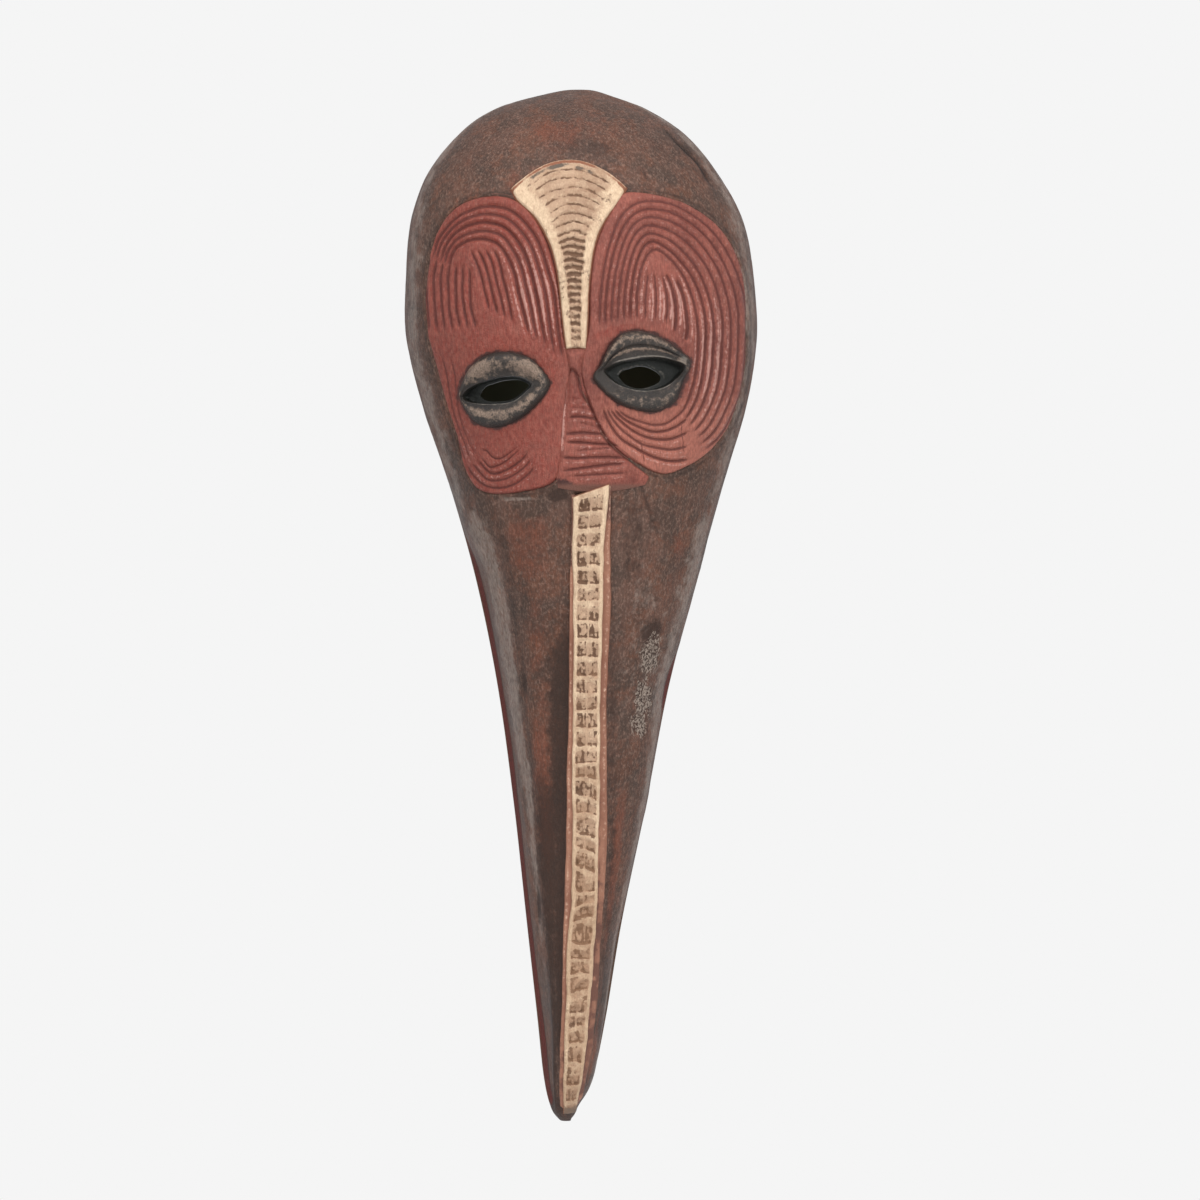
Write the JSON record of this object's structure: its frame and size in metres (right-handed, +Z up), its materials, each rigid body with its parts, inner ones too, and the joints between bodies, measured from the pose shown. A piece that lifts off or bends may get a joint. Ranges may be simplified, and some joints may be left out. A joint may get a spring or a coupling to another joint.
{
  "type": "carved wooden bird mask",
  "caption": "Tall carved wooden bird mask with a long tapering beak, grooved colour fields, open eyes, hollow back and a blind hanging hole in the crown.",
  "frame": {"origin": "mouth of the hanging hole in the back rim, 12 mm below the top of the crown", "axes": "+X to the viewer's right, +Z up towards the crown, the carved face looks along -Y, the back rim lies in the plane Y = 0"},
  "size_m": [0.1672, 0.0789, 0.49],
  "materials": {
    "dark_wood": "rubbed dark patina",
    "red_pigment": "matt earth pigment",
    "cream_pigment": "matt chalk pigment",
    "black_pigment": "worn black pigment",
    "rail_pigment": "thin rubbed pigment"
  },
  "bodies": {
    "root": {"crown": "dark_wood", "mask_shell": "dark_wood", "left_face_field": "red_pigment", "right_face_field": "red_pigment", "nose_panel": "red_pigment", "forehead_wedge": "cream_pigment", "left_eye_rim": "black_pigment", "right_eye_rim": "black_pigment", "beak_strip": "cream_pigment", "left_rail": "rail_pigment", "right_rail": "rail_pigment"}
  },
  "joints": []
}
